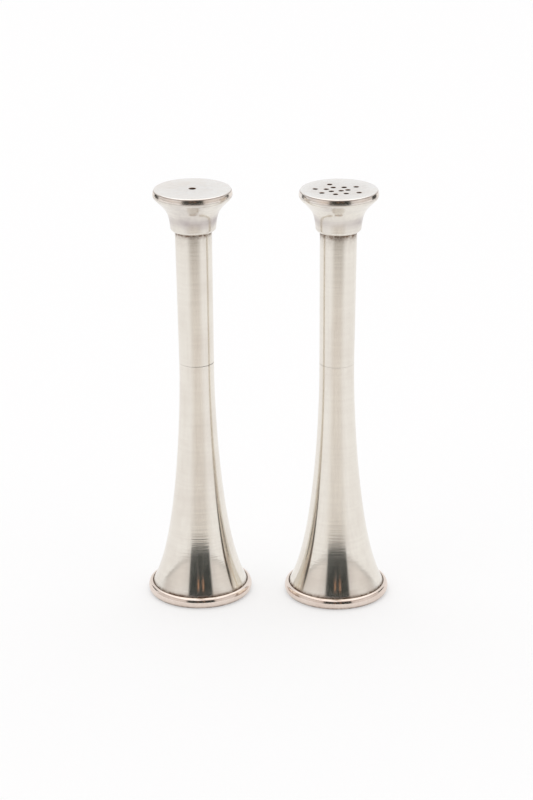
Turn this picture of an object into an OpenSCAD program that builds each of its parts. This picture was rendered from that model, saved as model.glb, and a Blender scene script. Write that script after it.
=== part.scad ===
// Pair of horn-shaped salt and pepper shakers.
// Each shaker is a trumpet bell standing on its mouth, with a slim tube that pulls out of it
// for filling and a cup-shaped head closed by a pierced disc. Salt has one hole, pepper thirteen.
// Millimetres, +Z up, origin on the floor midway between the two shakers.

/* [Overall] */
// Height of each shaker
total_height = 139.7; // [110:0.1:180]
// Distance between the two axes
axis_spacing = 45.7; // [40:0.1:120]
// Sheet thickness of the shells
wall = 0.8; // [0.6:0.05:1.2]

/* [Bell] */
// Outside diameter of the bell's mouth, inside the foot ring
mouth_diameter = 31.4; // [26:0.1:40]
// Outside diameter of the slim end of the bell
neck_diameter = 11.4; // [10.5:0.05:14]
// Height of the pull-apart joint
joint_height = 81.2; // [70:0.1:95]
// Straight length of neck below the joint
neck_straight = 3.7; // [1:0.1:8]
// Inward run for each unit of rise where the bell leaves the foot
mouth_slope = 0.54; // [0.3:0.01:0.8]
// How far the mouth keeps its slope
mouth_pull = 16.4; // [8:0.1:22]
// How far the neck stays straight before it starts to open
neck_pull = 7.7; // [3:0.1:15]

/* [Foot] */
// Height of the foot ring
foot_height = 3.6; // [3.2:0.1:5]
// Widest diameter of the foot ring, across its bowed side
foot_diameter = 34.6; // [34:0.1:44]
// Rounding along the foot's shoulder
foot_shoulder_round = 1; // [0.6:0.05:1.4]
// Radius of the foot's bowed side
foot_bow = 2.6; // [2:0.1:2.8]
// Height of the inside ledge that the bell's edge stands on
foot_ledge = 0.5; // [0.3:0.1:1]
// How far the base plate is set up inside the foot
base_recess = 1.2; // [0.8:0.1:1.4]
// Height of the base plate's turned-up rim
base_rim_height = 2; // [1.2:0.1:2]

/* [Tube and sleeve] */
// Outside diameter of the tube where it enters the head
tube_top_diameter = 11.95; // [11:0.05:15]
// Length of sleeve that slips into the bell's neck
sleeve_reach = 10; // [6:0.5:16]
// Length of sleeve soldered into the tube
sleeve_seat = 8; // [5:0.5:14]
// Wall of the sleeve
sleeve_wall = 0.65; // [0.4:0.05:0.9]
// Lead-in chamfer at the sleeve's free end
sleeve_chamfer = 0.4; // [0.1:0.05:0.5]
// Depth of neck bore left below the sleeve's end
sleeve_relief = 0.5; // [0.2:0.1:2]

/* [Head] */
// Height of the head, from its lip to the top
head_height = 13.7; // [12:0.1:18]
// Widest diameter of the head, across its rim
head_diameter = 25.6; // [22:0.1:32]
// How far the cup stands out from the tube just above its lip
cup_overhang = 1.45; // [1.35:0.05:2]
// Rounding of the lip round the tube
lip_round = 1.2; // [0.5:0.05:1.2]
// How far the tube reaches up into the head
tube_seat = 5.5; // [3:0.1:6]
// How far the cup rises before it opens out
cup_rise = 5.4; // [4:0.1:7]
// How far the cup's brim runs out at 45 degrees
brim_run = 3.45; // [2:0.05:4]
// Rounding where the brim turns up into the rim
brim_round = 1.5; // [0.8:0.05:2]

/* [Pierced disc] */
// Rounding of the disc's top edge
disc_edge_round = 0.5; // [0.3:0.05:0.8]
// Radius of the rim's bowed side, from the edge down to the seam with the cup
rim_bow = 3.65; // [3:0.05:4.5]
// Thickness of the disc
disc_thickness = 0.8; // [0.6:0.05:1.2]
// Height of the locating step under the disc's rim
step_height = 0.8; // [0.4:0.05:0.9]
// Thickness of the locating step
step_wall = 0.55; // [0.4:0.05:0.8]

/* [Pouring holes] */
// Diameter of the single salt hole
salt_hole_diameter = 2.1; // [1:0.05:4]
// Diameter of each pepper hole
pepper_hole_diameter = 1.55; // [0.8:0.05:1.8]
// Inner pepper holes, drilled by eye: distance from the axis and bearing of each
inner_holes = [[2.5, 50], [2.5, 137], [4, 183], [3.5, 227], [2, 290], [3, 340]];
// Outer pepper holes, the same
outer_holes = [[6, 25], [6, 120], [7.5, 180], [7, 220], [6, 260], [5.5, 295], [7.5, 328]];

/* [Clearances] */
// Radial clearance of the sleeve in the bell's neck
slip_clearance = 0.05; // [0.01:0.01:0.1]
// Radial gap filled by solder at each soldered seat
solder_gap = 0.05; // [0.02:0.01:0.1]

/* [Hidden] */
$fn = 96;
curve_steps = 24;
arc_steps = 8;
// Angles above or below level at which one rounding hands over to the next
foot_shoulder_turn = 30;
foot_edge_turn = 20;
rim_turn = 25;
brim_turn = 45;
disc_corner_round = 0.25;

salt_x = -axis_spacing / 2;
pepper_x = axis_spacing / 2;

mouth_r = mouth_diameter / 2;
mouth_inner_r = mouth_r - wall;
neck_r = neck_diameter / 2;
bore_r = neck_r - wall;
bore_bottom = joint_height - sleeve_reach - sleeve_relief;

foot_r = foot_diameter / 2;
foot_edge_round = (foot_height - foot_shoulder_round * (1 - sin(foot_shoulder_turn))
    - foot_bow * (sin(foot_shoulder_turn) + sin(foot_edge_turn))) / (1 - sin(foot_edge_turn));
foot_bow_centre = [foot_r - foot_bow, foot_height - foot_shoulder_round
    + (foot_shoulder_round - foot_bow) * sin(foot_shoulder_turn)];
foot_shoulder_centre = [foot_bow_centre[0] + (foot_bow - foot_shoulder_round)
    * cos(foot_shoulder_turn), foot_height - foot_shoulder_round];
foot_edge_centre = [foot_bow_centre[0] + (foot_bow - foot_edge_round)
    * cos(foot_edge_turn), foot_edge_round];
ledge_r = mouth_inner_r + solder_gap;

base_r = mouth_inner_r - solder_gap;
base_rim_top = base_recess + base_rim_height;

tube_top_r = tube_top_diameter / 2;
head_bottom = total_height - head_height;
tube_end = head_bottom + tube_seat;
tube_taper_top = head_bottom - 1;

cup_r = tube_top_r + cup_overhang;
cup_start = head_bottom + lip_round;
head_r = head_diameter / 2;
rim_seam = total_height - disc_edge_round - (rim_bow - disc_edge_round) * sin(rim_turn);
disc_edge_r = head_r - rim_bow + (rim_bow - disc_edge_round) * cos(rim_turn);
rim_inner_r = head_r - disc_thickness;
brim_end = [head_r - brim_round * (1 - cos(brim_turn)), rim_seam - brim_round * sin(brim_turn)];
step_r = rim_inner_r - solder_gap;

silver = [0.82, 0.80, 0.77];
bright_silver = [0.88, 0.87, 0.85];
dull_silver = [0.62, 0.59, 0.54];

// A smooth curve from p[0] to p[3] that leaves and arrives along its two handles.
function curve(p, t) = pow(1 - t, 3) * p[0] + 3 * pow(1 - t, 2) * t * p[1]
    + 3 * (1 - t) * t * t * p[2] + pow(t, 3) * p[3];
function curve_heading(p, t) = pow(1 - t, 2) * (p[1] - p[0])
    + 2 * (1 - t) * t * (p[2] - p[1]) + t * t * (p[3] - p[2]);
// The same curve moved a distance d towards the axis, square to itself.
function curve_inside(p, t, d) = let (h = curve_heading(p, t))
    curve(p, t) + d * [-h[1], h[0]] / norm(h);
// Points along a rounding; one that goes on from another leaves out its first point.
function arc(centre, radius, from, to, first = 0) =
    [for (i = [first:arc_steps]) let (a = from + (to - from) * i / arc_steps)
        centre + radius * [cos(a), sin(a)]];

bell_curve = [
    [mouth_r, foot_height],
    [mouth_r - mouth_slope * mouth_pull, foot_height + mouth_pull],
    [neck_r, joint_height - neck_straight - neck_pull],
    [neck_r, joint_height - neck_straight],
];
cup_curve = [
    [cup_r, cup_start],
    [cup_r + 0.08 * cup_rise, cup_start + cup_rise],
    brim_end - [brim_run, brim_run],
    brim_end,
];

module bell() {
    outside = [for (i = [0:curve_steps]) curve(bell_curve, i / curve_steps)];
    inside = [for (i = [curve_steps:-1:0])
        let (q = curve_inside(bell_curve, i / curve_steps, wall))
        if (q[1] < bore_bottom - 1) [max(bore_r, min(mouth_inner_r, q[0])), q[1]]];
    color(silver) rotate_extrude() polygon(concat(
        [[mouth_inner_r, foot_ledge], [mouth_r, foot_ledge]],
        outside,
        [[neck_r, joint_height], [bore_r, joint_height], [bore_r, bore_bottom]],
        inside));
}

module foot_ring() {
    color(silver) rotate_extrude() polygon(concat(
        [[ledge_r, 0]],
        arc(foot_edge_centre, foot_edge_round, -90, -foot_edge_turn),
        arc(foot_bow_centre, foot_bow, -foot_edge_turn, foot_shoulder_turn, 1),
        arc(foot_shoulder_centre, foot_shoulder_round, foot_shoulder_turn, 90, 1),
        [[mouth_r + solder_gap, foot_height], [mouth_r + solder_gap, foot_ledge],
            [ledge_r, foot_ledge]]));
}

module base_plate() {
    color(dull_silver) rotate_extrude() polygon([
        [0, base_recess], [base_r, base_recess], [base_r, base_rim_top],
        [base_r - wall, base_rim_top], [base_r - wall, base_recess + wall],
        [0, base_recess + wall]]);
}

module joint_sleeve() {
    slip_r = bore_r - slip_clearance;
    seat_r = bore_r - solder_gap;
    low = joint_height - sleeve_reach;
    high = joint_height + sleeve_seat;
    hole_r = min(slip_r, seat_r) - sleeve_wall;
    color(dull_silver) rotate_extrude() polygon([
        [hole_r, low], [slip_r - sleeve_chamfer, low], [slip_r, low + sleeve_chamfer],
        [slip_r, joint_height], [seat_r, joint_height], [seat_r, high], [hole_r, high]]);
}

module upper_tube() {
    color(silver) rotate_extrude() polygon([
        [bore_r, joint_height], [neck_r, joint_height], [tube_top_r, tube_taper_top],
        [tube_top_r, tube_end], [tube_top_r - wall, tube_end],
        [tube_top_r - wall, tube_taper_top], [bore_r, joint_height + sleeve_seat + 1]]);
}

module head_shell() {
    seat_r = tube_top_r + solder_gap;
    outside = [for (i = [0:curve_steps]) curve(cup_curve, i / curve_steps)];
    inside = [for (i = [curve_steps:-1:0])
        let (q = curve_inside(cup_curve, i / curve_steps, wall))
        if (q[1] > tube_end + 0.5 && q[0] < step_r - step_wall) q];
    color(silver) rotate_extrude() polygon(concat(
        [[seat_r, head_bottom]],
        arc([cup_r - lip_round, cup_start], lip_round, -90, 0),
        outside,
        arc([head_r - brim_round, rim_seam], brim_round, -brim_turn, 0, 1),
        [[step_r, rim_seam], [step_r, rim_seam + step_height],
            [step_r - step_wall, rim_seam + step_height], [step_r - step_wall, rim_seam]],
        inside,
        [[seat_r, tube_end]]));
}

// Closing disc with its turned-down rim; each hole is [distance from the axis, bearing].
module pierced_disc(holes, hole_diameter) {
    underside = total_height - disc_thickness;
    color(bright_silver) difference() {
        rotate_extrude() polygon(concat(
            [[0, underside]],
            arc([rim_inner_r - disc_corner_round, underside - disc_corner_round],
                disc_corner_round, 90, 0),
            [[rim_inner_r, rim_seam]],
            arc([head_r - rim_bow, rim_seam], rim_bow, 0, rim_turn),
            arc([disc_edge_r, total_height - disc_edge_round], disc_edge_round, rim_turn, 90, 1),
            [[0, total_height]]));
        for (h = holes)
            rotate(h[1]) translate([h[0], 0, underside - 1])
                cylinder(d = hole_diameter, h = disc_thickness + 2, $fn = 48);
    }
}

module salt_base_plate() { translate([salt_x, 0, 0]) base_plate(); }
module salt_foot_ring() { translate([salt_x, 0, 0]) foot_ring(); }
module salt_bell() { translate([salt_x, 0, 0]) bell(); }
module salt_joint_sleeve() { translate([salt_x, 0, 0]) joint_sleeve(); }
module salt_upper_tube() { translate([salt_x, 0, 0]) upper_tube(); }
module salt_head_shell() { translate([salt_x, 0, 0]) head_shell(); }
module salt_top_disc() {
    translate([salt_x, 0, 0]) pierced_disc([[0, 0]], salt_hole_diameter);
}
module pepper_base_plate() { translate([pepper_x, 0, 0]) base_plate(); }
module pepper_foot_ring() { translate([pepper_x, 0, 0]) foot_ring(); }
module pepper_bell() { translate([pepper_x, 0, 0]) bell(); }
module pepper_joint_sleeve() { translate([pepper_x, 0, 0]) joint_sleeve(); }
module pepper_upper_tube() { translate([pepper_x, 0, 0]) upper_tube(); }
module pepper_head_shell() { translate([pepper_x, 0, 0]) head_shell(); }
module pepper_top_disc() {
    translate([pepper_x, 0, 0])
        pierced_disc(concat(inner_holes, outer_holes), pepper_hole_diameter);
}

salt_base_plate();
salt_foot_ring();
salt_bell();
salt_joint_sleeve();
salt_upper_tube();
salt_head_shell();
salt_top_disc();
pepper_base_plate();
pepper_foot_ring();
pepper_bell();
pepper_joint_sleeve();
pepper_upper_tube();
pepper_head_shell();
pepper_top_disc();
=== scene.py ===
"""Horn-shaped salt and pepper shakers in old silver plate, standing on a pale studio floor.

Every outline is a half section in millimetres, (distance from the axis, height), worked out from the CAD
boxes and a few maker's sizes, and turned about its shaker's axis. The meshes are in metres, in the CAD frame.
"""

import logging
import math
from dataclasses import dataclass, field
from enum import Enum

import bmesh
import bpy
import numpy as np
from mathutils import Euler, Matrix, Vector
from mathutils.geometry import delaunay_2d_cdt


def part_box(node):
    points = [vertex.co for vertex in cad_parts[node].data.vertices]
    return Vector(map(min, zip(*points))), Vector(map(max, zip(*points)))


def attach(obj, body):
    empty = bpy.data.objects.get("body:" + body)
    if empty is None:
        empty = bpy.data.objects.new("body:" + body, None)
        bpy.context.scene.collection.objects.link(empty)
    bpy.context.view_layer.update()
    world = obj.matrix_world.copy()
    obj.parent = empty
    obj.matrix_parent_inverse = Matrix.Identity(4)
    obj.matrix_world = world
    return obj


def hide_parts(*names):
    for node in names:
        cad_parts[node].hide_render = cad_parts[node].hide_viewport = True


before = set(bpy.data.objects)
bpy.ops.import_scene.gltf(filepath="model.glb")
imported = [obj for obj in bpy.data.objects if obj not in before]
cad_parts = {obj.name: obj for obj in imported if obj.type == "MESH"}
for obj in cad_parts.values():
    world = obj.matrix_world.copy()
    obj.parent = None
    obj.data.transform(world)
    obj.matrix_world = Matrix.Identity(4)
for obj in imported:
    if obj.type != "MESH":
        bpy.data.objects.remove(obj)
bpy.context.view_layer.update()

MM = 0.001
MERGED_WITHIN = 2e-7
COLLAPSED_BELOW = 1e-8
Points = np.ndarray
Span = tuple[float, float]
Ramp = tuple[float, ...]
Colour = tuple[float, float, float, float]
Socket = bpy.types.NodeSocket
log = logging.getLogger("shakers")


# -------- outlines


def bezier(handles: Points, count: int) -> Points:
    """Cubic curve from the first handle to the last.

    Args:
        handles: Four (r, z) points; the middle two pull the curve.
        count: Number of points wanted.

    Returns:
        Points (1-t)^3 A + 3(1-t)^2 t B + 3(1-t) t^2 C + t^3 D for t from 0 to 1.
    """
    a, b, c, d = np.asarray(handles, float)
    t = np.linspace(0.0, 1.0, count)[:, None]
    return (1 - t) ** 3 * a + 3 * (1 - t) ** 2 * t * b + 3 * (1 - t) * t**2 * c + t**3 * d


def inset(curve: Points, distance: float) -> Points:
    """Moves a rising curve towards the axis, square to itself.

    Args:
        curve: (r, z) points.
        distance: How far to move, in millimetres.

    Returns:
        Each point plus distance times its left-hand unit normal.
    """
    heading = np.gradient(curve, axis=0)
    heading /= np.linalg.norm(heading, axis=1, keepdims=True)
    return curve + distance * np.stack([-heading[:, 1], heading[:, 0]], axis=1)


def arc(centre: Span, radius: float, start: float, stop: float, count: int = 14) -> Points:
    """Circular stretch of an outline.

    Args:
        centre: (r, z) of its centre.
        radius: Its radius.
        start: Angle of its first point, in degrees from outwards.
        stop: Angle of its last point.
        count: Number of points wanted.

    Returns:
        Points centre + radius (cos a, sin a).
    """
    angle = np.radians(np.linspace(start, stop, count))
    return np.asarray(centre) + radius * np.stack([np.cos(angle), np.sin(angle)], axis=1)


def soften(corners: list[tuple[float, float, float]], steps: int = 6) -> Points:
    """Turns a chain of corners into an outline with eased edges.

    Each corner C with an ease e becomes the curve (1-t)^2 A + 2t(1-t) C + t^2 B, where A and B lie e before
    and after it on its two sides.

    Args:
        corners: (r, z, ease) for each corner; the first and last stay sharp.
        steps: Points for each eased corner.

    Returns:
        The outline's (r, z) points.
    """
    spot = np.array(corners, float)
    place, ease = spot[:, :2], spot[:, 2:]
    before = np.vstack([place[:1], place[:-1]]) - place
    after = np.vstack([place[1:], place[-1:]]) - place
    before /= np.maximum(np.linalg.norm(before, axis=1, keepdims=True), 1e-9)
    after /= np.maximum(np.linalg.norm(after, axis=1, keepdims=True), 1e-9)
    t = np.linspace(0.0, 1.0, steps)[None, :, None]
    start = (place + ease * before)[:, None]
    stop = (place + ease * after)[:, None]
    curve = (1 - t) ** 2 * start + 2 * t * (1 - t) * place[:, None] + t**2 * stop
    return without_doubles(curve.reshape(-1, 2))


def without_doubles(outline: Points, nearest: float = 1e-4) -> Points:
    """Drops each point that repeats the one before it.

    Args:
        outline: (r, z) points.
        nearest: Distance below which two points count as one, in millimetres.

    Returns:
        The outline without its repeats.
    """
    moved = np.linalg.norm(np.diff(outline, axis=0), axis=1) > nearest
    return outline[np.concatenate([[True], moved])]


def spread(outline: Points, longest: float | np.ndarray) -> Points:
    """Splits the outline's long stretches so that none is longer than a set length.

    Args:
        outline: (r, z) points.
        longest: Longest stretch allowed, in millimetres, for all stretches or for each.

    Returns:
        The same outline with evenly spaced points added.
    """
    step = np.diff(outline, axis=0)
    parts = np.maximum(1, np.ceil(np.linalg.norm(step, axis=1) / longest).astype(int))
    first = np.repeat(np.cumsum(parts) - parts, parts)
    share = (np.arange(parts.sum()) - first) / np.repeat(parts, parts)
    between = np.repeat(outline[:-1], parts, axis=0) + share[:, None] * np.repeat(step, parts, axis=0)
    return np.vstack([between, outline[-1:]])


def circle(count: int) -> Points:
    """Points (cos a, sin a) evenly round a circle of radius 1."""
    angle = 2 * np.pi * np.arange(count) / count
    return np.stack([np.cos(angle), np.sin(angle)], axis=1)


# -------- meshes


class DirtAndShade(Enum):
    """What dulls or darkens the silver, real dirt and painted shade alike, by the name of the mesh attribute
    that holds it.
    """

    GRIME_AND_SHADE = "grime_and_shade"
    HAZE = "haze"
    HIDDEN = "hidden"


@dataclass(frozen=True)
class Seam:
    """A level where the silver darkens, with dirt, haze, painted shade or a painted reflection: its height,
    how far it spreads, and how strong it is.
    """

    height: float
    spread: float
    depth: float
    kind: DirtAndShade = DirtAndShade.GRIME_AND_SHADE


@dataclass
class Turned:
    """A mesh in the making: points, faces of three or four corners, and a flat map for each face corner."""

    points: Points
    faces: np.ndarray
    flat: Points

    def joined(self, other: "Turned") -> "Turned":
        """This mesh and another as one; doubled points are merged when it is finished."""
        faces = np.vstack([self.faces, other.faces + len(self.points)])
        return Turned(np.vstack([self.points, other.points]), faces, np.vstack([self.flat, other.flat]))


def turn(outline: Points, segments: int, closed: bool) -> Turned:
    """Turns a half section about the axis.

    Point (i, j) is (r_i cos a_j, r_i sin a_j, z_i) with a_j = 2 pi j / segments. In the flat map, u is the
    share of the turn and v the length along the outline.

    Args:
        outline: (r, z) points, walked with the metal on the left.
        segments: Steps round the axis.
        closed: Whether the last point joins the first.

    Returns:
        The surface, with the outline's outer side facing out.
    """
    rows = np.vstack([outline, outline[:1]]) if closed else outline
    points = np.empty((len(outline), segments, 3))
    points[..., :2] = outline[:, :1, None] * circle(segments)
    points[..., 2] = outline[:, 1:]
    i, j = np.meshgrid(np.arange(len(rows) - 1), np.arange(segments), indexing="ij")
    after_i, after_j = (i + 1) % len(outline), (j + 1) % segments
    corners = [(i, j), (i, after_j), (after_i, after_j), (after_i, j)]
    faces = np.stack([a * segments + b for a, b in corners], axis=-1).reshape(-1, 4)
    length = np.concatenate([[0.0], np.cumsum(np.linalg.norm(np.diff(rows, axis=0), axis=1))])
    u = np.stack([j, j + 1, j + 1, j], axis=-1) / segments
    v = length[np.stack([i, i, i + 1, i + 1], axis=-1)] * MM
    return Turned(points.reshape(-1, 3), faces, np.stack([u, v], axis=-1).reshape(-1, 2))


def halved(quads: np.ndarray) -> np.ndarray:
    """Splits rows of four corners into rows of three: all first halves, then all second halves."""
    return np.vstack([quads[:, [0, 1, 2]], quads[:, [0, 2, 3]]])


def vertex_values(mesh: bpy.types.Mesh, key: str) -> Points:
    """A mesh's co or normal, as rows of three."""
    values = np.empty(len(mesh.vertices) * 3)
    mesh.vertices.foreach_get(key, values)
    return values.reshape(-1, 3)


def finish_mesh(name: str, shape: Turned, axis_x: float, seams: list[Seam], bore: float) -> bpy.types.Object:
    """Puts a turned shape into Blender: merged, smooth, in place, and with its dirt and painted shade marked.

    Args:
        name: The piece's name.
        shape: Its points in millimetres about its own axis.
        axis_x: Where its axis stands, in millimetres.
        seams: Where dirt and painted shade gather.
        bore: Radius below which a surface that faces the axis is inside the piece.

    Returns:
        The finished object, at the origin, with its place in its mesh.
    """
    mesh = bpy.data.meshes.new(name)
    place = (shape.points + [axis_x, 0.0, 0.0]) * MM
    mesh.from_pydata(place.tolist(), [], shape.faces.tolist())
    flat = mesh.uv_layers.new(name="flat")
    flat.data.foreach_set("uv", shape.flat.astype(np.float32).ravel())
    tidy = bmesh.new()
    tidy.from_mesh(mesh)
    bmesh.ops.remove_doubles(tidy, verts=tidy.verts, dist=MERGED_WITHIN)
    bmesh.ops.dissolve_degenerate(tidy, edges=tidy.edges, dist=COLLAPSED_BELOW)
    tidy.to_mesh(mesh)
    tidy.free()
    mark(mesh, axis_x, seams, bore)
    mesh.shade_smooth()
    piece = bpy.data.objects.new(name, mesh)
    bpy.context.scene.collection.objects.link(piece)
    piece.modifiers.new("even_normals", "WEIGHTED_NORMAL").keep_sharp = True
    return piece


def mark(mesh: bpy.types.Mesh, axis_x: float, seams: list[Seam], bore: float) -> None:
    """Writes the attributes that the finishes read.

    The dirt mark and haze are the sums over their seams of depth times exp(-(distance / spread)^2), and
    hidden is 1 on surfaces that face the axis. The dirt mark holds real dirt at joints and painted shade or a
    painted reflection line at others.

    Args:
        mesh: The merged mesh, in metres.
        axis_x: Where its axis stands, in millimetres.
        seams: Where dirt and painted shade gather.
        bore: Radius of the inside.
    """
    place = vertex_values(mesh, "co") / MM
    away = place[:, :2] - [axis_x, 0.0]
    radius = np.linalg.norm(away, axis=1)
    facing = (away * vertex_values(mesh, "normal")[:, :2]).sum(axis=1) / np.maximum(radius, 1e-6)
    level = {kind: np.zeros(len(place)) for kind in DirtAndShade}
    for seam in seams:
        level[seam.kind] += seam.depth * np.exp(-(((place[:, 2] - seam.height) / seam.spread) ** 2))
    level[DirtAndShade.HIDDEN] += (facing < -0.05) & (radius < bore)
    for kind, value in level.items():
        mesh.attributes.new(kind.value, "FLOAT", "POINT").data.foreach_set("value", value.astype(np.float32))


# -------- finishes


class Grain(Enum):
    """How a surface was worked, as the stretch of its grain along X, Y and Z."""

    LATHE = (0.15, 0.15, 5.0)
    PLANISHED = (1.0, 1.0, 1.0)


@dataclass
class Nodes:
    """A thin hand on a node tree: adds nodes with their settings and joins them."""

    tree: bpy.types.NodeTree

    def add(self, kind: str, sockets: dict | None = None, **settings: str) -> bpy.types.Node:
        """Adds a node.

        Args:
            kind: The node's type name, without ShaderNode.
            sockets: Values, or output sockets to join, by input name or number.
            **settings: The node's own properties.

        Returns:
            The new node.
        """
        node = self.tree.nodes.new("ShaderNode" + kind)
        for key, value in settings.items():
            setattr(node, key, value)
        for key, value in (sockets or {}).items():
            if isinstance(value, bpy.types.NodeSocket):
                self.tree.links.new(value, node.inputs[key])
            else:
                node.inputs[key].default_value = value
        return node

    def math(self, operation: str, *values: Socket | float) -> Socket:
        """A Math node's result for one to three values or sockets."""
        return self.add("Math", dict(enumerate(values)), operation=operation).outputs[0]

    def ramp(self, value: Socket, low: float, high: float, start: float = 0.0, stop: float = 1.0) -> Socket:
        """A smooth step from start to stop as value goes from low to high."""
        sockets = {"Value": value, "From Min": low, "From Max": high, "To Min": start, "To Max": stop}
        return self.add("MapRange", sockets, interpolation_type="SMOOTHSTEP").outputs["Result"]

    def near(self, value: Socket, middle: float, inner: float, outer: float, most: float = 1.0) -> Socket:
        """The value most where value is within inner of the middle, falling smoothly to 0 at outer."""
        off = self.math("ABSOLUTE", self.math("SUBTRACT", value, middle))
        return self.ramp(off, inner, outer, most, 0.0)

    def blend(self, factor: Socket, one: Socket | Colour, other: Socket | Colour) -> Socket:
        """A colour between one and other."""
        return self.add("Mix", {0: factor, 6: one, 7: other}, data_type="RGBA").outputs[2]

    def noise(self, place: Socket, scale: float, detail: float, roughness: float) -> Socket:
        """A cloudy value from 0 to 1 at each place, its features 1 / scale metres across."""
        sockets = {"Vector": place, "Scale": scale, "Detail": detail, "Roughness": roughness}
        return self.add("TexNoise", sockets).outputs["Fac"]


def blank(name: str) -> tuple[bpy.types.Material, Nodes]:
    """A new material with an empty node tree, and the hand that fills it."""
    material = bpy.data.materials.new(name)
    material.use_nodes = True
    material.node_tree.nodes.clear()
    return material, Nodes(material.node_tree)


@dataclass(frozen=True)
class SilverFinish:
    """Old silver plate: its colour, polish, grain, haze and the tarnished dark of its seams, which at some
    seams is painted shade or a painted reflection line.

    The bloom is the share of light that fine wear scatters, most of it along the axis. Heights are in metres.
    """

    name: str
    silver: Colour = (0.827, 0.787, 0.718, 1.0)
    haze: Colour = (0.66, 0.59, 0.53, 1.0)
    # Colour of tarnished seams, also used for painted shade and painted reflection lines.
    tarnish_and_shade: Colour = (0.16, 0.095, 0.06, 1.0)
    inside: Colour = (0.42, 0.34, 0.25, 1.0)
    roughness: float = 0.105
    bloom: float = 0.15
    bloom_roughness: float = 0.26
    bloom_stretch: float = 0.9
    grain: Grain = Grain.LATHE
    grain_size: float = 400.0
    grain_height: float = 9e-6
    cloud_size: float = 70.0
    speck_size: float = 900.0
    streak_size: float = 1100.0
    streak_stretch: tuple[float, float, float] = (1.0, 1.0, 0.04)
    hazing: float = 0.25
    streaks: float = 0.10
    scratches: float = 0.0

    def build(self) -> bpy.types.Material:
        """Makes the node material.

        Returns:
            A metal whose grain follows the lathe and whose polish follows the cloth, with clouded haze, dark
            seams (tarnished, and at some seams painted shade or a painted reflection line) and a dull inside,
            near black on the disc as painted shade in its holes; a little of a rougher metal is mixed in for
            the bloom.
        """
        material, nodes = blank(self.name)
        place = nodes.add("TexCoord").outputs["Object"]
        marks = [nodes.add("Attribute", attribute_name=kind.value) for kind in DirtAndShade]
        grime_and_shade, band, hidden = (node.outputs["Fac"] for node in marks)

        stretched = nodes.add("Mapping", {"Vector": place, "Scale": self.grain.value}).outputs[0]
        grain = nodes.noise(stretched, self.grain_size, 1.0, 0.4)
        clouds = nodes.noise(place, self.cloud_size, 4.0, 0.55)
        specks = nodes.noise(place, self.speck_size, 3.0, 0.6)
        lengthwise = nodes.add("Mapping", {"Vector": place, "Scale": self.streak_stretch}).outputs[0]
        wiped = nodes.noise(lengthwise, self.streak_size, 2.0, 0.5)

        hazed = nodes.math("MULTIPLY_ADD", band, nodes.ramp(clouds, 0.3, 0.7, 0.4, 1.1),
                           nodes.ramp(clouds, 0.46, 0.70, 0.0, self.hazing))
        hazed = nodes.math("MINIMUM", hazed, 1.0)
        # Dirt and painted shade: the seams' mark, broken up by specks, tints the silver towards the tarnished
        # colour.
        ragged = nodes.math("MULTIPLY", grime_and_shade, nodes.ramp(specks, 0.25, 0.75, 0.45, 1.35))
        dirt_and_shade = nodes.math("MINIMUM", ragged, 1.0)
        colour = nodes.blend(hazed, self.silver, self.haze)
        colour = nodes.blend(nodes.ramp(grain, 0.35, 0.65, 0.0, 0.12), colour, self.haze)
        colour = nodes.blend(nodes.ramp(wiped, 0.35, 0.65, 0.0, self.streaks), colour, self.haze)
        colour = nodes.blend(hidden, colour, self.inside)
        colour = nodes.blend(dirt_and_shade, colour, self.tarnish_and_shade)

        rough = nodes.ramp(grain, 0.3, 0.7, self.roughness - 0.02, self.roughness + 0.02)
        rough = nodes.math("MULTIPLY_ADD", hazed, 0.10, rough)
        rough = nodes.math("MULTIPLY_ADD", nodes.math("MAXIMUM", dirt_and_shade, hidden), 0.3, rough)

        height = nodes.math("MULTIPLY", grain, self.grain_height)
        if self.scratches:
            height = nodes.math("ADD", height, self.scratch_height(nodes, place))
        bump = nodes.add("Bump", {"Height": height, "Strength": 1.0, "Distance": 1.0})
        round_the_axis = nodes.add("Tangent", direction_type="UV_MAP", uv_map="flat")
        shared = {"Base Color": colour, "Metallic": 1.0, "Normal": bump.outputs["Normal"]}
        metal = nodes.add("BsdfPrincipled", {**shared, "Roughness": rough})
        worn = nodes.add("BsdfPrincipled", {
            **shared,
            "Roughness": self.bloom_roughness,
            "Anisotropic": self.bloom_stretch,
            "Anisotropic Rotation": 0.25,
            "Tangent": round_the_axis.outputs["Tangent"],
        })
        bloom = nodes.ramp(wiped, 0.3, 0.7, 0.6 * self.bloom, 1.4 * self.bloom)
        both = nodes.add("MixShader", {0: bloom, 1: metal.outputs[0], 2: worn.outputs[0]})
        nodes.add("OutputMaterial", {"Surface": both.outputs[0]})
        return material

    def scratch_height(self, nodes: Nodes, place: Socket) -> Socket:
        """Fine crossing scratches: the crests of two stretched noises, as a depth in metres."""
        grooves = []
        for turned in (0.5, 2.0):
            sockets = {"Vector": place, "Scale": (1.0, 0.05, 1.0), "Rotation": (0.0, 0.0, turned)}
            lines = nodes.noise(nodes.add("Mapping", sockets).outputs[0], 2600.0, 1.0, 0.5)
            grooves.append(nodes.ramp(lines, 0.62, 0.70, 0.0, -self.scratches))
        return nodes.math("ADD", *grooves)


@dataclass(frozen=True)
class Looks:
    """The materials that both shakers share."""

    body: bpy.types.Material
    foot: bpy.types.Material
    head: bpy.types.Material
    disc: bpy.types.Material
    inner: bpy.types.Material


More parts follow.
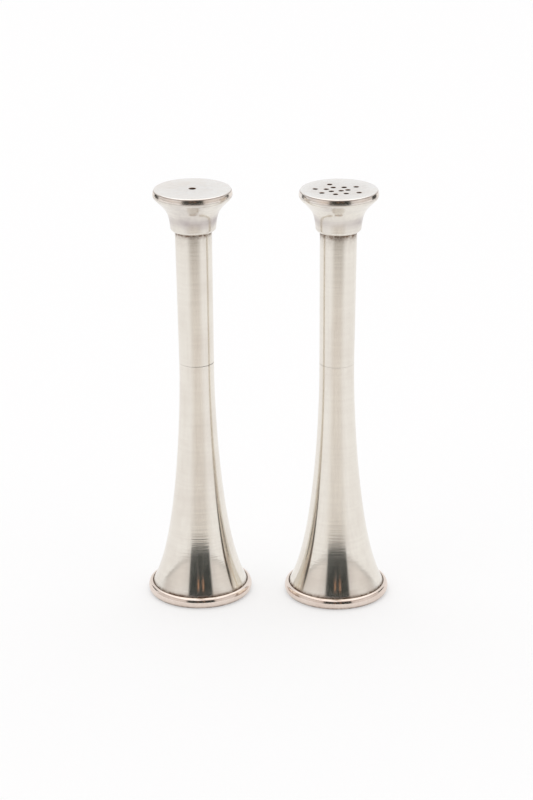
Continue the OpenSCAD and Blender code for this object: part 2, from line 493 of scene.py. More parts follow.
def silver_looks() -> Looks:
    """Makes the finishes of the bells and tubes, the foot rings, the cups, the discs and what is inside."""
    return Looks(
        body=SilverFinish("body_silver").build(),
        foot=SilverFinish("foot_silver", silver=(0.82, 0.72, 0.65, 1.0), haze=(0.62, 0.48, 0.40, 1.0),
                          roughness=0.09, bloom=0.12, hazing=0.3).build(),
        head=SilverFinish("head_silver", haze=(0.50, 0.45, 0.44, 1.0), roughness=0.12, hazing=0.35).build(),
        # On the disc the inside colour is near black: painted shade in its holes.
        disc=SilverFinish("disc_silver", silver=(0.865, 0.855, 0.835, 1.0), haze=(0.78, 0.67, 0.58, 1.0),
                          tarnish_and_shade=(0.26, 0.15, 0.09, 1.0), inside=(0.04, 0.028, 0.02, 1.0), roughness=0.11,
                          bloom_stretch=0.0, grain=Grain.PLANISHED, hazing=0.15, scratches=7e-7).build(),
        inner=SilverFinish("inner_plate", silver=(0.60, 0.54, 0.46, 1.0), roughness=0.42, hazing=0.5).build(),
    )


# -------- shaker


class Contents(Enum):
    """What a shaker holds."""

    SALT = "salt"
    PEPPER = "pepper"


@dataclass(frozen=True)
class PlateSizes:
    """The sheet metal's own sizes, in millimetres, the same for both shakers.

    An outline is cut into stretches of closing times their distance from the nearest seam, but never longer
    than longest or shorter than shortest.
    """

    wall: float = 0.8
    disc: float = 0.8
    sleeve_wall: float = 0.65
    seat_gap: float = 0.05
    segments: int = 192
    longest: float = 0.9
    shortest: float = 0.06
    closing: float = 0.3


@dataclass
class Shaker:
    """One shaker's sizes as the CAD gives them, and the outlines that all its pieces share."""

    contents: Contents
    plate: PlateSizes = field(default_factory=PlateSizes)

    def __post_init__(self) -> None:
        """Reads the axis, radii and heights from the CAD boxes, in millimetres."""
        low, high = self.node_box("bell")
        self.axis_x = (low[0] + high[0]) / 2
        self.mouth_r, self.ledge_top, self.joint = self.extent("bell")
        low, high = self.node_box("foot_ring")
        self.foot_r = min(high[0] - self.axis_x, self.axis_x - low[0])  # the nearer side, to stay in the box
        self.foot_top = high[2]
        _, self.base_bottom, self.base_top = self.extent("base_plate")
        sleeve_r, self.sleeve_low, self.sleeve_high = self.extent("joint_sleeve")
        self.bore_r = sleeve_r + self.plate.seat_gap
        self.neck_r = self.bore_r + self.plate.wall
        self.tube_top_r, _, self.tube_end = self.extent("upper_tube")
        _, self.head_bottom, self.step_top = self.extent("head_shell")
        self.rim_r, self.rim_seam, self.top = self.extent("top_disc")

    def node_box(self, part: str) -> tuple[np.ndarray, np.ndarray]:
        """Lowest and highest corner of one of this shaker's CAD nodes, in millimetres."""
        low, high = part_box(self.node(part))
        return np.array(low) / MM, np.array(high) / MM

    def extent(self, part: str) -> tuple[float, float, float]:
        """Radius, bottom and top of one of this shaker's CAD nodes, in millimetres."""
        low, high = self.node_box(part)
        return (high[0] - low[0]) / 2, low[2], high[2]

    def node(self, part: str) -> str:
        """Name of this shaker's CAD node for a part."""
        return f"{self.contents.value}_{part}"

    def make(self, part: str, outline: Points, seams: list[Seam], closed: bool = True) -> bpy.types.Object:
        """Turns an outline into the piece that stands for a CAD node.

        Args:
            part: The CAD node's name without the shaker's.
            outline: Its half section.
            seams: Where dirt and painted shade gather on it.
            closed: Whether the section is a ring, rather than ending on the axis.

        Returns:
            The piece, not yet riding on its body.
        """
        even = without_doubles(spread(outline, self.plate.longest))
        level = (even[1:, 1] + even[:-1, 1]) / 2
        nearest = np.min([np.abs(level - seam.height) for seam in seams], axis=0)
        fine = spread(even, np.clip(self.plate.closing * nearest, self.plate.shortest, self.plate.longest))
        shape = turn(fine, self.plate.segments, closed)
        bore = float(outline[:, 0].max())
        return finish_mesh(f"{self.contents.value}-{part}", shape, self.axis_x, seams, bore)

    def place(self, piece: bpy.types.Object, part: str, body: str, slot: str,
              look: bpy.types.Material) -> None:
        """Dresses a piece, hides the CAD node it stands for and sets it on its body.

        Args:
            piece: The finished piece.
            part: The CAD node's name without the shaker's.
            body: lower or upper.
            slot: Not used; the record's material slot.
            look: Its material.
        """
        piece.data.materials.append(look)
        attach(piece, self.node(body))
        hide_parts(self.node(part))
        log.info("%s: %d faces", piece.name, len(piece.data.polygons))


@dataclass
class LowerBody:
    """Bell, foot ring and base plate: the half that stands on the table."""

    shaker: Shaker
    mouth_slope: float = 0.54
    mouth_pull: float = 16.4
    neck_straight: float = 3.7
    neck_pull: float = 7.7
    relief: float = 0.5
    relief_run: float = 0.3
    shoulder_round: float = 1.0
    bow: float = 2.6
    shoulder_turn: float = 30.0
    edge_turn: float = 20.0
    corner_ease: float = 0.1
    joint_ease: float = 0.03

    def bell_outline(self) -> Points:
        """Trumpet section: straight collar, one smooth flare, straight neck, and the same 0.8 mm inside."""
        s, wall = self.shaker, self.shaker.plate.wall
        foot = s.foot_top
        throat = s.joint - self.neck_straight
        pulled = (s.mouth_r - self.mouth_slope * self.mouth_pull, foot + self.mouth_pull)
        handles = [(s.mouth_r, foot), pulled, (s.neck_r, throat - self.neck_pull), (s.neck_r, throat)]
        flare = bezier(handles, 110)
        inner_r = s.mouth_r - wall
        bore_bottom = s.sleeve_low - self.relief
        inside = inset(flare, wall)[::-1]
        inside = inside[inside[:, 1] < bore_bottom - self.relief_run]
        inside[:, 0] = np.clip(inside[:, 0], s.bore_r, inner_r)
        collar = soften([(inner_r, foot, 0), (inner_r, s.ledge_top, self.corner_ease),
                         (s.mouth_r, s.ledge_top, self.corner_ease), (s.mouth_r, foot, 0)])
        rim = soften([(s.neck_r, throat, 0), (s.neck_r, s.joint, self.joint_ease),
                      (s.bore_r, s.joint, self.corner_ease), (s.bore_r, bore_bottom, 0)])
        return np.vstack([collar[1:-1], flare, rim[1:], inside])

    def foot_outline(self) -> Points:
        """Ring section: flat underside, tucked-in edge, bowed side, rounded shoulder, and the bell's seat."""
        s, gap = self.shaker, self.shaker.plate.seat_gap
        ledge_r = s.mouth_r - s.plate.wall + gap
        seat_r = s.mouth_r + gap
        rise, fall = math.radians(self.shoulder_turn), math.radians(self.edge_turn)
        middle = s.foot_top - self.shoulder_round + (self.shoulder_round - self.bow) * math.sin(rise)
        edge_round = (middle - self.bow * math.sin(fall)) / (1 - math.sin(fall))
        bow_r = s.foot_r - self.bow
        edge_r = bow_r + (self.bow - edge_round) * math.cos(fall)
        shoulder_r = bow_r + (self.bow - self.shoulder_round) * math.cos(rise)
        shoulder_z = s.foot_top - self.shoulder_round
        underside = soften([(seat_r, s.ledge_top, 0), (ledge_r, s.ledge_top, self.corner_ease),
                            (ledge_r, 0.0, self.corner_ease), (edge_r, 0.0, 0)])
        edge = arc((edge_r, edge_round), edge_round, -90, -self.edge_turn, 20)
        side = arc((bow_r, middle), self.bow, -self.edge_turn, self.shoulder_turn, 30)
        shoulder = arc((shoulder_r, shoulder_z), self.shoulder_round, self.shoulder_turn, 90, 20)
        return np.vstack([underside, edge, side, shoulder, [(seat_r, s.foot_top)]])

    def base_outline(self) -> Points:
        """Closing plate: a flat pan with its rim turned up, from its axis out and back."""
        s, wall = self.shaker, self.shaker.plate.wall
        outer = s.mouth_r - wall - s.plate.seat_gap
        floor = s.base_bottom + wall
        return soften([(0, s.base_bottom, 0), (outer, s.base_bottom, 0.4), (outer, s.base_top, 0.2),
                       (outer - wall, s.base_top, 0.2), (outer - wall, floor, 0.3), (0, floor, 0)])

    def build(self, looks: Looks) -> None:
        """Makes, dresses and places the three pieces.

        Args:
            looks: The materials.
        """
        s = self.shaker
        bell = s.make("bell", self.bell_outline(), [Seam(s.foot_top, 0.55, 0.9), Seam(s.joint, 0.1, 0.1)])
        s.place(bell, "bell", "lower", "body_silver", looks.body)
        # The foot's bottom edge is darkened: painted shade, the floor's contact shadow as the foot would
        # mirror it.
        foot = s.make("foot_ring", self.foot_outline(), [Seam(0.0, 0.7, 1.3)])
        s.place(foot, "foot_ring", "lower", "foot_silver", looks.foot)
        base = s.make("base_plate", self.base_outline(), [Seam(s.base_top, 0.6, 0.3)], closed=False)
        s.place(base, "base_plate", "lower", "inner_plate", looks.inner)


@dataclass
class UpperBody:
    """Tube, sleeve, cup and pierced disc: the half that pulls off for filling.

    Each hole is its distance from the disc's middle, in millimetres, and its bearing, in degrees.
    """

    shaker: Shaker
    holes: list[Span]
    hole_r: float
    lean: float
    joint_gap: float
    lip_spread: float
    gap_fade: float = 1.5
    bore_run: float = 9.0
    taper_stop: float = 1.0
    cup_overhang: float = 1.45
    lip_round: float = 1.2
    cup_rise: float = 5.4
    cup_flare: float = 0.08
    brim_run: float = 3.45
    brim_round: float = 1.5
    cup_floor: float = 0.5
    edge_round: float = 0.5
    rim_bow: float = 3.65
    rim_turn: float = 25.0
    inner_corner: float = 0.25
    step_wall: float = 0.55
    hole_ease: float = 0.12
    hole_points: int = 40
    hole_ring: float = 0.1
    face_ring: float = 0.25
    hole_grime: float = 0.9
    hole_grime_spread: float = 0.16
    lead_in: float = 0.4
    corner_ease: float = 0.1
    joint_ease: float = 0.03

    def tube_outline(self) -> Points:
        """Slim tube that widens slightly up to the head and runs straight inside it."""
        s, wall = self.shaker, self.shaker.plate.wall
        taper_top = s.head_bottom - self.taper_stop
        return soften([(s.bore_r, s.joint + self.bore_run, 0), (s.bore_r, s.joint, self.corner_ease),
                       (s.neck_r, s.joint, self.joint_ease), (s.tube_top_r, taper_top, 0.5),
                       (s.tube_top_r, s.tube_end, self.corner_ease),
                       (s.tube_top_r - wall, s.tube_end, self.corner_ease),
                       (s.tube_top_r - wall, taper_top, 0)])

    def sleeve_outline(self) -> Points:
        """Inner sleeve with a lead-in at its free end."""
        s = self.shaker
        outer = s.bore_r - s.plate.seat_gap
        hole = outer - s.plate.sleeve_wall
        return soften([(hole, s.joint, 0), (hole, s.sleeve_low, 0.08),
                       (outer - self.lead_in, s.sleeve_low, 0.1), (outer, s.sleeve_low + self.lead_in, 0.1),
                       (outer, s.sleeve_high, 0.1), (hole, s.sleeve_high, 0.08)])

    def cup_outline(self) -> Points:
        """Mouthpiece cup: rounded lip on the tube, steep wall, brim at 45 degrees, and its turned-up edge."""
        s, plate = self.shaker, self.shaker.plate
        cup_r = s.tube_top_r + self.cup_overhang
        start = s.head_bottom + self.lip_round
        turned_up = arc((s.rim_r - self.brim_round, s.rim_seam), self.brim_round, -45, 0, 24)
        brim_r, brim_z = turned_up[0]
        step_r = s.rim_r - plate.disc - plate.seat_gap
        seat_r = s.tube_top_r + plate.seat_gap
        cup = bezier([(cup_r, start), (cup_r + self.cup_flare * self.cup_rise, start + self.cup_rise),
                      (brim_r - self.brim_run, brim_z - self.brim_run), (brim_r, brim_z)], 70)
        inside = inset(cup, plate.wall)[::-1]
        above_tube = inside[:, 1] > s.tube_end + self.cup_floor
        inside = inside[above_tube & (inside[:, 0] < step_r - self.step_wall)]
        lip = arc((cup_r - self.lip_round, start), self.lip_round, -90, 0, 20)
        step = soften([(s.rim_r, s.rim_seam, 0), (step_r, s.rim_seam, 0.05), (step_r, s.step_top, 0.08),
                       (step_r - self.step_wall, s.step_top, 0.08), (step_r - self.step_wall, s.rim_seam, 0)])
        return np.vstack([[(seat_r, s.head_bottom)], lip, cup[1:], turned_up[1:], step[1:], inside,
                          [(seat_r, s.tube_end)]])

    def rim_outline(self) -> Points:
        """The disc's turned-down rim: from its underside to the seam, and up its bowed side to its face."""
        s = self.shaker
        inner_r, underside, bend = s.rim_r - s.plate.disc, s.top - s.plate.disc, self.inner_corner
        corner = arc((inner_r - bend, underside - bend), bend, 90, 0, 10)
        side = arc((s.rim_r - self.rim_bow, s.rim_seam), self.rim_bow, 0, self.rim_turn, 24)
        edge = arc((self.face_r(), s.top - self.edge_round), self.edge_round, self.rim_turn, 90, 20)
        return np.vstack([[(self.face_r(), underside)], corner, [(inner_r, s.rim_seam)], side, edge])

    def face_r(self) -> float:
        """Radius of the disc's flat face, where its edge starts to turn down."""
        reach = (self.rim_bow - self.edge_round) * math.cos(math.radians(self.rim_turn))
        return self.shaker.rim_r - self.rim_bow + reach

    def mouth_r(self) -> float:
        """Radius of a hole where it meets the disc's face."""
        return self.hole_r + self.hole_ease

    def hole_centres(self) -> Points:
        """Where the holes stand, (x, y) from the disc's middle."""
        turned = [(away, math.radians(bearing)) for away, bearing in self.holes]
        return np.array([(away * math.cos(angle), away * math.sin(angle)) for away, angle in turned])

    def pierced_face(self) -> Turned:
        """The disc's flat middle with its holes, as triangles ready to join the rim."""
        sheet, sheet_faces = self.cut_faces()
        walls, wall_faces = self.hole_walls()
        points = np.vstack([sheet, walls])
        faces = np.vstack([sheet_faces, wall_faces + len(sheet)])
        return Turned(points, faces, (points[faces][..., :2] * MM).reshape(-1, 2))

    def cut_faces(self) -> tuple[Points, np.ndarray]:
        """The upper and the lower face, each the plane cut by rings of points round every hole.

        Returns:
            Their points, and their triangles.
        """
        s, plate = self.shaker, self.shaker.plate
        centres, mouth_r, flat_r = self.hole_centres(), self.mouth_r(), self.face_r()
        loops = [radius * circle(plate.segments) for radius in (flat_r, flat_r - self.face_ring)]
        loops += [centre + radius * circle(self.hole_points)
                  for centre in centres for radius in (mouth_r, mouth_r + self.hole_ring)]
        sizes = np.array([len(loop) for loop in loops])
        first = np.concatenate([[0], np.cumsum(sizes)[:-1]])
        edges = [(int(f + k), int(f + (k + 1) % n)) for f, n in zip(first, sizes) for k in range(n)]
        plane, _, found, *_ = delaunay_2d_cdt(np.vstack(loops).tolist(), edges, [], 0, 1e-7)
        flat = np.array([tuple(p) for p in plane])
        faces = np.array([f for f in found if len(f) == 3])
        middle = flat[faces].mean(axis=1)
        gap = np.linalg.norm(middle[:, None] - centres[None], axis=2).min(axis=1)
        faces = faces[(gap > mouth_r * 0.98) & (np.linalg.norm(middle, axis=1) < flat_r)]
        a, b, c = flat[faces[:, 0]], flat[faces[:, 1]], flat[faces[:, 2]]
        backwards = np.cross(b - a, c - a) < 0
        faces[backwards] = faces[backwards][:, ::-1]
        up = np.column_stack([flat, np.full(len(flat), s.top)])
        down = np.column_stack([flat, np.full(len(flat), s.top - plate.disc)])
        return np.vstack([up, down]), np.vstack([faces, faces[:, ::-1] + len(flat)])

    def hole_walls(self) -> tuple[Points, np.ndarray]:
        """The holes' walls: grids whose radius eases from the face into the bore along a quarter circle.

        Returns:
            Their points, and their triangles.
        """
        centres, count, disc = self.hole_centres(), self.hole_points, self.shaker.plate.disc
        quarter = np.radians(np.linspace(0, 90, 6))
        narrowing = self.mouth_r() - self.hole_ease * np.sin(quarter)
        sinking = self.hole_ease * (1 - np.cos(quarter))
        radius = np.concatenate([narrowing, narrowing[::-1]])
        sink = np.concatenate([sinking, disc - sinking[::-1]])
        wall = np.empty((len(centres), len(radius), count, 3))
        wall[..., :2] = centres[:, None, None] + radius[None, :, None, None] * circle(count)
        wall[..., 2] = self.shaker.top - sink[None, :, None]
        hole, row, step = np.meshgrid(np.arange(len(centres)), np.arange(len(radius) - 1), np.arange(count),
                                      indexing="ij")
        corners = [(hole * len(radius) + row + down) * count + (step + on) % count
                   for down, on in ((0, 0), (0, 1), (1, 1), (1, 0))]
        return wall.reshape(-1, 3), halved(np.stack(corners, axis=-1).reshape(-1, 4))

    def disc(self) -> bpy.types.Object:
        """The pierced disc: flat middle with its holes, and the rolled rim round it.

        Returns:
            One closed piece.
        """
        s = self.shaker
        rim = turn(without_doubles(self.rim_outline()), s.plate.segments, closed=False)
        rim = Turned(rim.points, halved(rim.faces), halved(rim.flat.reshape(-1, 4, 2)).reshape(-1, 2))
        # Seams: dirt at the rim seam; a brown line just under the face's edge, which is a painted reflection
        # of the tent's dark hem; haze on the rim's side.
        seams = [Seam(s.rim_seam, 0.25, 0.3), Seam(s.top - 0.33, 0.14, 0.6),
                 Seam(s.rim_seam + 0.8, 0.8, 0.8, DirtAndShade.HAZE)]
        name = f"{s.contents.value}-top_disc"
        piece = finish_mesh(name, rim.joined(self.pierced_face()), s.axis_x, seams, s.rim_r)
        self.soil_and_shade_holes(piece.data)
        return piece

    def soil_and_shade_holes(self, mesh: bpy.types.Mesh) -> None:
        """Darkens the holes: their walls count as hidden and take painted shade, and dirt gathers round their
        mouths.

        The dirt at each point is its depth times exp(-((d - hole radius) / spread)^2), d being the distance
        to the nearest hole's middle.

        Args:
            mesh: The disc's mesh, in metres, with its dirt and painted shade marked.
        """
        s = self.shaker
        place = vertex_values(mesh, "co") / MM - [s.axis_x, 0.0, 0.0]
        away = np.linalg.norm(place[:, None, :2] - self.hole_centres()[None], axis=2).min(axis=1)
        near = np.exp(-(((away - self.hole_r) / self.hole_grime_spread) ** 2))
        # Hole walls below the face count as hidden: painted shade in the holes.
        level = {DirtAndShade.GRIME_AND_SHADE: self.hole_grime * near,
                 DirtAndShade.HIDDEN: (place[:, 2] < s.top - self.hole_ease / 2) & (away < self.mouth_r())}
        for kind, added in level.items():
            data = mesh.attributes[kind.value].data
            value = np.empty(len(place), np.float32)
            data.foreach_get("value", value)
            data.foreach_set("value", np.maximum(value, added).astype(np.float32))

    def tip(self, piece: bpy.types.Object) -> None:
        """Leans a piece outwards above the joint and opens a fine wedge at the joint on its inner side.

        Each point moves sideways by its height above the joint times tan(lean), and rises by the gap times
        a share that fades with height and is largest on the side that faces the other shaker.

        Args:
            piece: A piece of this half, already in place.
        """
        s = self.shaker
        place = vertex_values(piece.data, "co")
        above = np.maximum(place[:, 2] - s.joint * MM, 0.0)
        outwards = math.copysign(1.0, s.axis_x)
        across = (s.axis_x * MM - place[:, 0]) * outwards / (s.neck_r * MM)
        share = np.clip((across + 1.0) / 2.0, 0.0, 1.0) * np.exp(-above / (self.gap_fade * MM))
        place[:, 0] += outwards * above * math.tan(math.radians(self.lean))
        place[:, 2] += self.joint_gap * MM * share
        piece.data.vertices.foreach_set("co", place.astype(np.float32).ravel())
        piece.data.update()

    def build(self, looks: Looks) -> None:
        """Makes, dresses and places the four pieces.

        Args:
            looks: The materials.
        """
        s = self.shaker
        lip_dirt = [Seam(s.head_bottom - 0.1, self.lip_spread, 0.8), Seam(s.head_bottom - 1.5, 3.0, 0.12)]
        tube = s.make("upper_tube", self.tube_outline(), [Seam(s.joint, 0.1, 0.1), *lip_dirt])
        self.tip(tube)
        s.place(tube, "upper_tube", "upper", "body_silver", looks.body)
        sleeve = s.make("joint_sleeve", self.sleeve_outline(), [Seam(s.joint, 0.8, 0.5)])
        s.place(sleeve, "joint_sleeve", "upper", "inner_plate", looks.inner)
        # Dirt at the lip and at the rim seam, and a darker cloudy band round the cup 4.1 mm above its lip.
        cup_darkening = [Seam(s.head_bottom, 0.2, 0.7), Seam(s.rim_seam, 0.15, 0.2),
                    Seam(s.head_bottom + 4.1, 1.7, 0.8, DirtAndShade.HAZE)]
        cup = s.make("head_shell", self.cup_outline(), cup_darkening)
        self.tip(cup)
        s.place(cup, "head_shell", "upper", "head_silver", looks.head)
        disc = self.disc()
        self.tip(disc)
        s.place(disc, "top_disc", "upper", "disc_silver", looks.disc)


# -------- studio


def matt(name: str, sockets: dict[str, float | Colour]) -> bpy.types.Material:
    """A dull material with the given values on its shader's sockets."""
    material = bpy.data.materials.new(name)
    material.use_nodes = True
    surface = material.node_tree.nodes["Principled BSDF"]
    for key, value in {"Roughness": 0.9, **sockets}.items():
        surface.inputs[key].default_value = value
    return material


def sheet(name: str, corners: list[tuple[float, float, float]], look: bpy.types.Material,
          mirrored_only: bool = True) -> None:
    """Adds a flat four-cornered stage piece.

    Args:
        name: Its name.
        corners: Its corners, in metres.
        look: Its material.
        mirrored_only: Whether nothing but the silver's reflections shows it.
    """
    mesh = bpy.data.meshes.new(name)
    mesh.from_pydata(corners, [], [(0, 1, 2, 3)])
    mesh.materials.append(look)
    piece = bpy.data.objects.new(name, mesh)
    bpy.context.scene.collection.objects.link(piece)
    if mirrored_only:
        piece.visible_camera = piece.visible_diffuse = piece.visible_shadow = False


@dataclass(frozen=True)
class Tent:
    """What the silver mirrors: a light tent open in front, the table before it, and a dark card at each side.

    Angles are degrees of height above the floor or of bearing from the front; lengths are metres. A ramp is
    where a tone starts to change and where it is done, and then its strength at either.
    """

    white: Colour = (0.955, 0.965, 0.975, 1.0)
    beige: Colour = (0.85, 0.81, 0.79, 1.0)
    shade: Colour = (0.87, 0.83, 0.79, 1.0)
    dusk: Colour = (0.42, 0.40, 0.38, 1.0)
    dark: Colour = (0.034, 0.039, 0.036, 1.0)
    brown: Colour = (0.44, 0.33, 0.27, 1.0)
    ember: Colour = (0.68, 0.36, 0.21, 1.0)
    black: Colour = (0.0, 0.0, 0.0, 1.0)
    opening_turn: float = 4.0
    opening_half: float = 31.0
    opening_top: float = 33.0
    opening_blur: float = 3.0
    top_blur: float = 2.0
    front: Ramp = (95.0, 115.0, 1.0, 0.0)
    horizon: Ramp = (0.5, 3.0, 0.35, 0.0)
    hem_drop: float = 2.0
    hem: Ramp = (5.0, 8.0, 0.6)
    hem_front: Ramp = (100.0, 130.0, 1.0, 0.0)
    patch_rise: Ramp = (14.0, 26.0, 0.0, 0.55)
    patch_start: Ramp = (0.0, 5.0)
    patch_end: Ramp = (30.0, 85.0, 1.0, 0.0)
    beige_low: float = 8.0
    beige_left: float = 0.15
    inner_fade: Ramp = (0.0, 26.0, 0.86, 1.0)
    outer_fade: Ramp = (60.0, 110.0, 1.0, 0.8)
    embers: tuple[Span, ...] = ((-2.0, 17.0), (11.0, 17.0))
    ember_half_width: float = 2.8
    ember_half_height: Span = (2.0, 7.0)
    table_edge: float = 0.60
    table_edge_blur: float = 0.02
    table_shade: Ramp = (0.25, 0.51)
    table_start: Ramp = (0.13, 0.20)
    table_sides: Span = (-19.0, 23.0)
    table_far: Span = (3.0, -2.6)
    table_near: Span = (0.35, -0.06)
    table_lift: float = 0.0002
    card_place: Span = (0.345, 0.185)
    card_half_width: float = 0.085
    card_heights: Span = (0.065, 0.19)

    def build(self) -> None:
        """Makes the surroundings."""
        self.table()
        look = matt("dark_card", {"Base Color": self.dark})
        self.card("left_card", -1.0, look)
        self.card("right_card", 1.0, look)
        self.surround()

    def bearings(self, nodes: Nodes, x: Socket, y: Socket) -> tuple[Socket, Socket]:
        """The bearing from the front, and how far it lies from the opening's middle."""
        side = nodes.math("DEGREES", nodes.math("ARCTAN2", x, nodes.math("MULTIPLY", y, -1.0)))
        return side, nodes.math("ABSOLUTE", nodes.math("SUBTRACT", side, self.opening_turn))

    def opening_width(self, nodes: Nodes, off_side: Socket) -> Socket:
        """1 between the opening's two sides, and 0 outside them."""
        half, blur = self.opening_half, self.opening_blur
        return nodes.ramp(off_side, half - blur, half + blur, 1.0, 0.0)

    def table(self) -> None:
        """The table as the silver sees it through the opening.

        Its tone goes from shade to dusk towards its edge and is dark beyond, and it fades out to both sides.
        """
        material, nodes = blank("apron")
        x, y, _ = nodes.add("SeparateXYZ", {0: nodes.add("TexCoord").outputs["Object"]}).outputs
        squares = [nodes.math("MULTIPLY", value, value) for value in (x, y)]
        distance = nodes.math("SQRT", nodes.math("ADD", *squares))
        _, off_side = self.bearings(nodes, x, y)
        edge, blur, half = self.table_edge, self.table_edge_blur, self.opening_half
        beyond = nodes.ramp(distance, edge - blur, edge + blur)
        colour = nodes.blend(nodes.ramp(distance, *self.table_shade), self.shade, self.dusk)
        colour = nodes.blend(beyond, colour, self.dark)
        sides = [half + reach for reach in self.table_sides]
        soft = nodes.math("MULTIPLY", nodes.ramp(off_side, *sides, 1.0, 0.0),
                          nodes.ramp(distance, *self.table_start))
        cover = nodes.math("ADD", nodes.math("MULTIPLY", soft, nodes.math("SUBTRACT", 1.0, beyond)),
                           nodes.math("MULTIPLY", self.opening_width(nodes, off_side), beyond))
        light = nodes.add("Emission", {"Color": colour, "Strength": 1.0})
        clear = nodes.add("BsdfTransparent")
        both = nodes.add("MixShader", {0: cover, 1: clear.outputs[0], 2: light.outputs[0]})
        nodes.add("OutputMaterial", {"Surface": both.outputs[0]})
        (far, back), (near, front), up = self.table_far, self.table_near, self.table_lift
        sheet("apron", [(-far, back, up), (far, back, up), (near, front, up), (-near, front, up)], material)

    def card(self, name: str, side: float, look: bpy.types.Material) -> None:
        """An upright dark card behind and to one side, which gives the silver its dark edge lines.

        Args:
            name: The card's name.
            side: -1 for the left, 1 for the right.
            look: Its material.
        """
        x, y = side * self.card_place[0], self.card_place[1]
        away = math.hypot(x, y)
        along = (-y / away * self.card_half_width, x / away * self.card_half_width)
        low, high = (x - along[0], y - along[1]), (x + along[0], y + along[1])
        bottom, top = self.card_heights
        sheet(name, [(*low, bottom), (*high, bottom), (*high, top), (*low, top)], look)

    def surround(self) -> None:
        """The tent as the world: white, with tones laid over it one after the other; plain to the camera.

        Beige low in the front half, paler and darker by turns; brown along the tent's hem and in a patch on
        the right; dark in the opening and a little along the horizon; two embers in the opening.
        """
        world = bpy.data.worlds.new("tent")
        bpy.context.scene.world = world
        world.use_nodes = True
        world.node_tree.nodes.clear()
        nodes = Nodes(world.node_tree)
        x, y, z = nodes.add("SeparateXYZ", {0: nodes.add("TexCoord").outputs["Generated"]}).outputs
        height = nodes.math("DEGREES", nodes.math("ARCSINE", z))
        side, off_side = self.bearings(nodes, x, y)
        top = self.opening_top
        front = nodes.ramp(off_side, *self.front)
        opening = nodes.math("MULTIPLY", nodes.ramp(height, top, top + self.top_blur, 1.0, 0.0),
                             self.opening_width(nodes, off_side))
        horizon = nodes.math("MULTIPLY", nodes.ramp(height, *self.horizon), front)
        hem = nodes.math("MULTIPLY", nodes.near(height, top - self.hem_drop, *self.hem),
                         nodes.ramp(off_side, *self.hem_front))
        patch = nodes.math("MULTIPLY", nodes.ramp(side, *self.patch_start), nodes.ramp(side, *self.patch_end))
        patch = nodes.math("MULTIPLY", patch, nodes.ramp(height, *self.patch_rise))
        low = nodes.math("MULTIPLY", nodes.ramp(height, self.beige_low, top, 1.0, self.beige_left), front)
        beside = nodes.math("SUBTRACT", off_side, self.opening_half)
        fading = nodes.math("MULTIPLY", nodes.ramp(beside, *self.inner_fade),
                            nodes.ramp(off_side, *self.outer_fade))
        colour = nodes.blend(low, self.white, nodes.blend(fading, self.black, self.beige))
        colour = nodes.blend(nodes.math("MAXIMUM", hem, patch), colour, self.brown)
        colour = nodes.blend(nodes.math("MAXIMUM", opening, horizon), colour, self.dark)
        for bearing, level in self.embers:
            glow = nodes.math("MULTIPLY", nodes.near(side, bearing, 0.0, self.ember_half_width),
                              nodes.near(height, level, *self.ember_half_height))
            colour = nodes.blend(glow, colour, self.ember)
        colour = nodes.blend(nodes.add("LightPath").outputs["Is Camera Ray"], colour, self.white)
        back = nodes.add("Background", {"Color": colour, "Strength": 1.0})
        nodes.add("OutputWorld", {"Surface": back.outputs[0]})


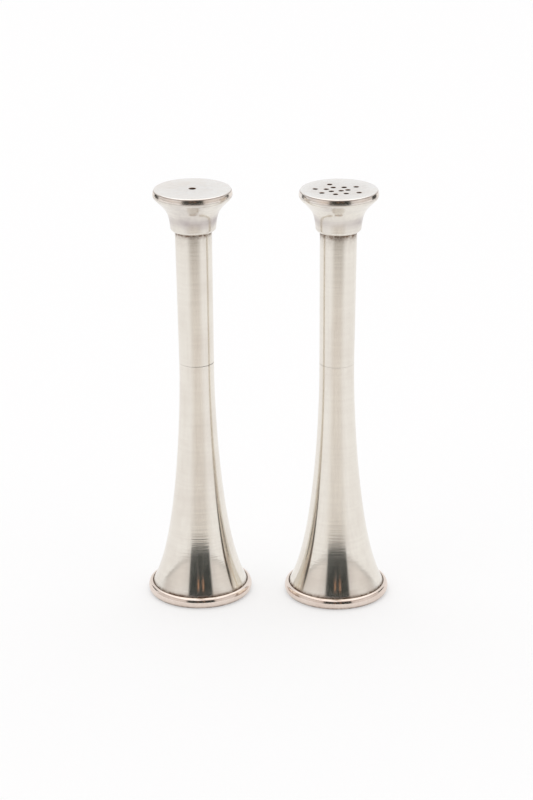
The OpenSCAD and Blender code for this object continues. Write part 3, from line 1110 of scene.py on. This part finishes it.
@dataclass
class Studio:
    """Pale floor, soft light, the tent round them, and the camera; lengths in metres, angles in degrees."""

    tent: Tent = field(default_factory=Tent)
    floor_size: float = 8.0
    floor_tint: Colour = (0.48, 0.48, 0.482, 1.0)
    floor_glow: float = 0.49
    lamp_size: Span = (3.2, 4.0)
    lamp_place: tuple[float, float, float] = (0.0, 0.3, 2.2)
    lamp_energy: float = 19.5
    camera_bearing: float = 2.08
    camera_pitch: float = 20.86
    camera_roll: float = -0.416
    camera_place: tuple[float, float, float] = (0.0284, -0.7855, 0.3674)
    camera_lens: float = 115.5
    camera_nearest: float = 0.01

    def build(self) -> None:
        """Makes the floor, the surroundings, the light and the camera."""
        self.floor()
        self.tent.build()
        self.overhead()
        self.camera()
        bpy.context.scene.view_settings.view_transform = "Standard"

    def floor(self) -> None:
        """The pale floor under the shakers, lit a little from below, so that their shadows stay soft."""
        half = self.floor_size / 2
        glow = {"Emission Color": (1.0, 1.0, 1.0, 1.0), "Emission Strength": self.floor_glow}
        look = matt("pale_floor", {"Base Color": self.floor_tint, "Specular IOR Level": 0.1, **glow})
        corners = [(-half, -half, 0), (half, -half, 0), (half, half, 0), (-half, half, 0)]
        sheet("floor", corners, look, mirrored_only=False)

    def overhead(self) -> None:
        """One broad soft light above."""
        light = bpy.data.lights.new("overhead", "AREA")
        light.shape = "RECTANGLE"
        light.size, light.size_y = self.lamp_size
        light.energy = self.lamp_energy
        lamp = bpy.data.objects.new("overhead", light)
        lamp.location = self.lamp_place
        bpy.context.scene.collection.objects.link(lamp)

    def camera(self) -> None:
        """A long lens a little above the shakers, tipped down at them."""
        data = bpy.data.cameras.new("camera")
        data.lens = self.camera_lens
        data.sensor_width = 36.0
        data.clip_start = self.camera_nearest
        camera = bpy.data.objects.new("camera", data)
        pitch, bearing = math.radians(90.0 - self.camera_pitch), math.radians(self.camera_bearing)
        roll = Matrix.Rotation(math.radians(self.camera_roll), 3, "Z")
        aim = Euler((pitch, 0.0, bearing)).to_matrix() @ roll
        camera.matrix_world = Matrix.Translation(self.camera_place) @ aim.to_4x4()
        bpy.context.scene.collection.objects.link(camera)
        bpy.context.scene.camera = camera


def main() -> None:
    """Builds the studio and both shakers."""
    Studio().build()
    looks = silver_looks()
    pepper_holes = [(2.5, 50), (2.5, 137), (4, 183), (3.5, 227), (2, 290), (3, 340),
                    (6, 25), (6, 120), (7.5, 180), (7, 220), (6, 260), (5.5, 295), (7.5, 328)]
    halves = (
        UpperBody(Shaker(Contents.SALT), [(0.0, 0.0)], hole_r=1.05, lean=0.4, joint_gap=0.16, lip_spread=1.0),
        UpperBody(Shaker(Contents.PEPPER), pepper_holes, hole_r=0.775, lean=0.53, joint_gap=0.05,
                  lip_spread=1.5),
    )
    for upper in halves:
        LowerBody(upper.shaker).build(looks)
        upper.build(looks)
        log.info("%s shaker done", upper.shaker.contents.value)


if __name__ == "__main__":
    logging.basicConfig(level=logging.INFO)
    main()
